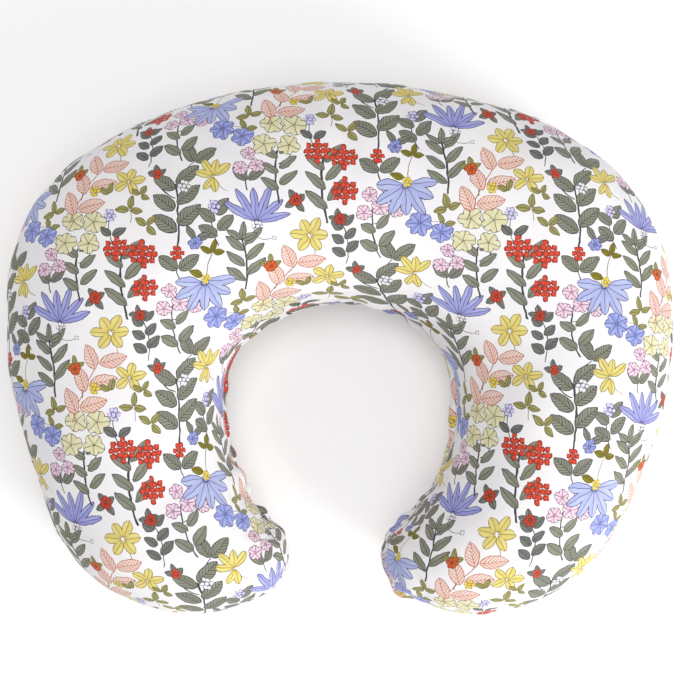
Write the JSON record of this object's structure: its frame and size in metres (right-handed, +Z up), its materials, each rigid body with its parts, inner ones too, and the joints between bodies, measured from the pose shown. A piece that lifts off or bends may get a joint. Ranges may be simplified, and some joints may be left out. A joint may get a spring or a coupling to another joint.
{
  "type": "nursing pillow",
  "caption": "C-shaped nursing pillow: stuffed inner pillow in a printed cotton slipcover with a zipper along the back seam.",
  "frame": {"origin": "on the floor under the centre of the pillow's overall box", "axes": "+Z up, +X along the pillow's width from arm to arm, +Y towards the closed back, so that the arms point to -Y"},
  "size_m": [0.5604, 0.4456, 0.1452],
  "materials": {
    "cover_fabric": "matte",
    "casing_fabric": "matte",
    "fibre": "matte",
    "thread": "matte",
    "zipper_tape": "matte",
    "zipper_nylon": "satin",
    "slider_enamel": "satin",
    "stop_metal": "satin",
    "label_satin": "satin"
  },
  "bodies": {
    "pillow": {"cover_top": "cover_fabric", "cover_bottom": "cover_fabric", "case_top": "casing_fabric", "case_bottom": "casing_fabric", "fibre_fill": "fibre", "cover_seam_stitch": "thread", "case_seam_stitch": "thread", "case_closing_stitch": "thread", "cover_care_label": "label_satin", "case_label": "label_satin", "zipper_tape_upper": "zipper_tape", "zipper_tape_lower": "zipper_tape", "zipper_coil_upper": "zipper_nylon", "zipper_coil_lower": "zipper_nylon", "zipper_stitch_upper": "thread", "zipper_stitch_lower": "thread", "zipper_top_stop_upper": "stop_metal", "zipper_top_stop_lower": "stop_metal", "zipper_bottom_stop": "stop_metal"},
    "slider": {"zipper_slider": "slider_enamel"},
    "pull_tab": {"zipper_pull_tab": "slider_enamel"}
  },
  "joints": [
    {"name": "zipper_slide", "type": "hinge", "parent": "pillow", "child": "slider", "pos_m": [0, -0.2028, 0.066], "axis": [0, 0, 1], "range_deg": [0, 45.4]},
    {"name": "pull_tab_flip", "type": "hinge", "parent": "slider", "child": "pull_tab", "pos_m": [0.1649, 0.1914, 0.066], "axis": [0, 0, -1], "range_deg": [0, 175]}
  ]
}
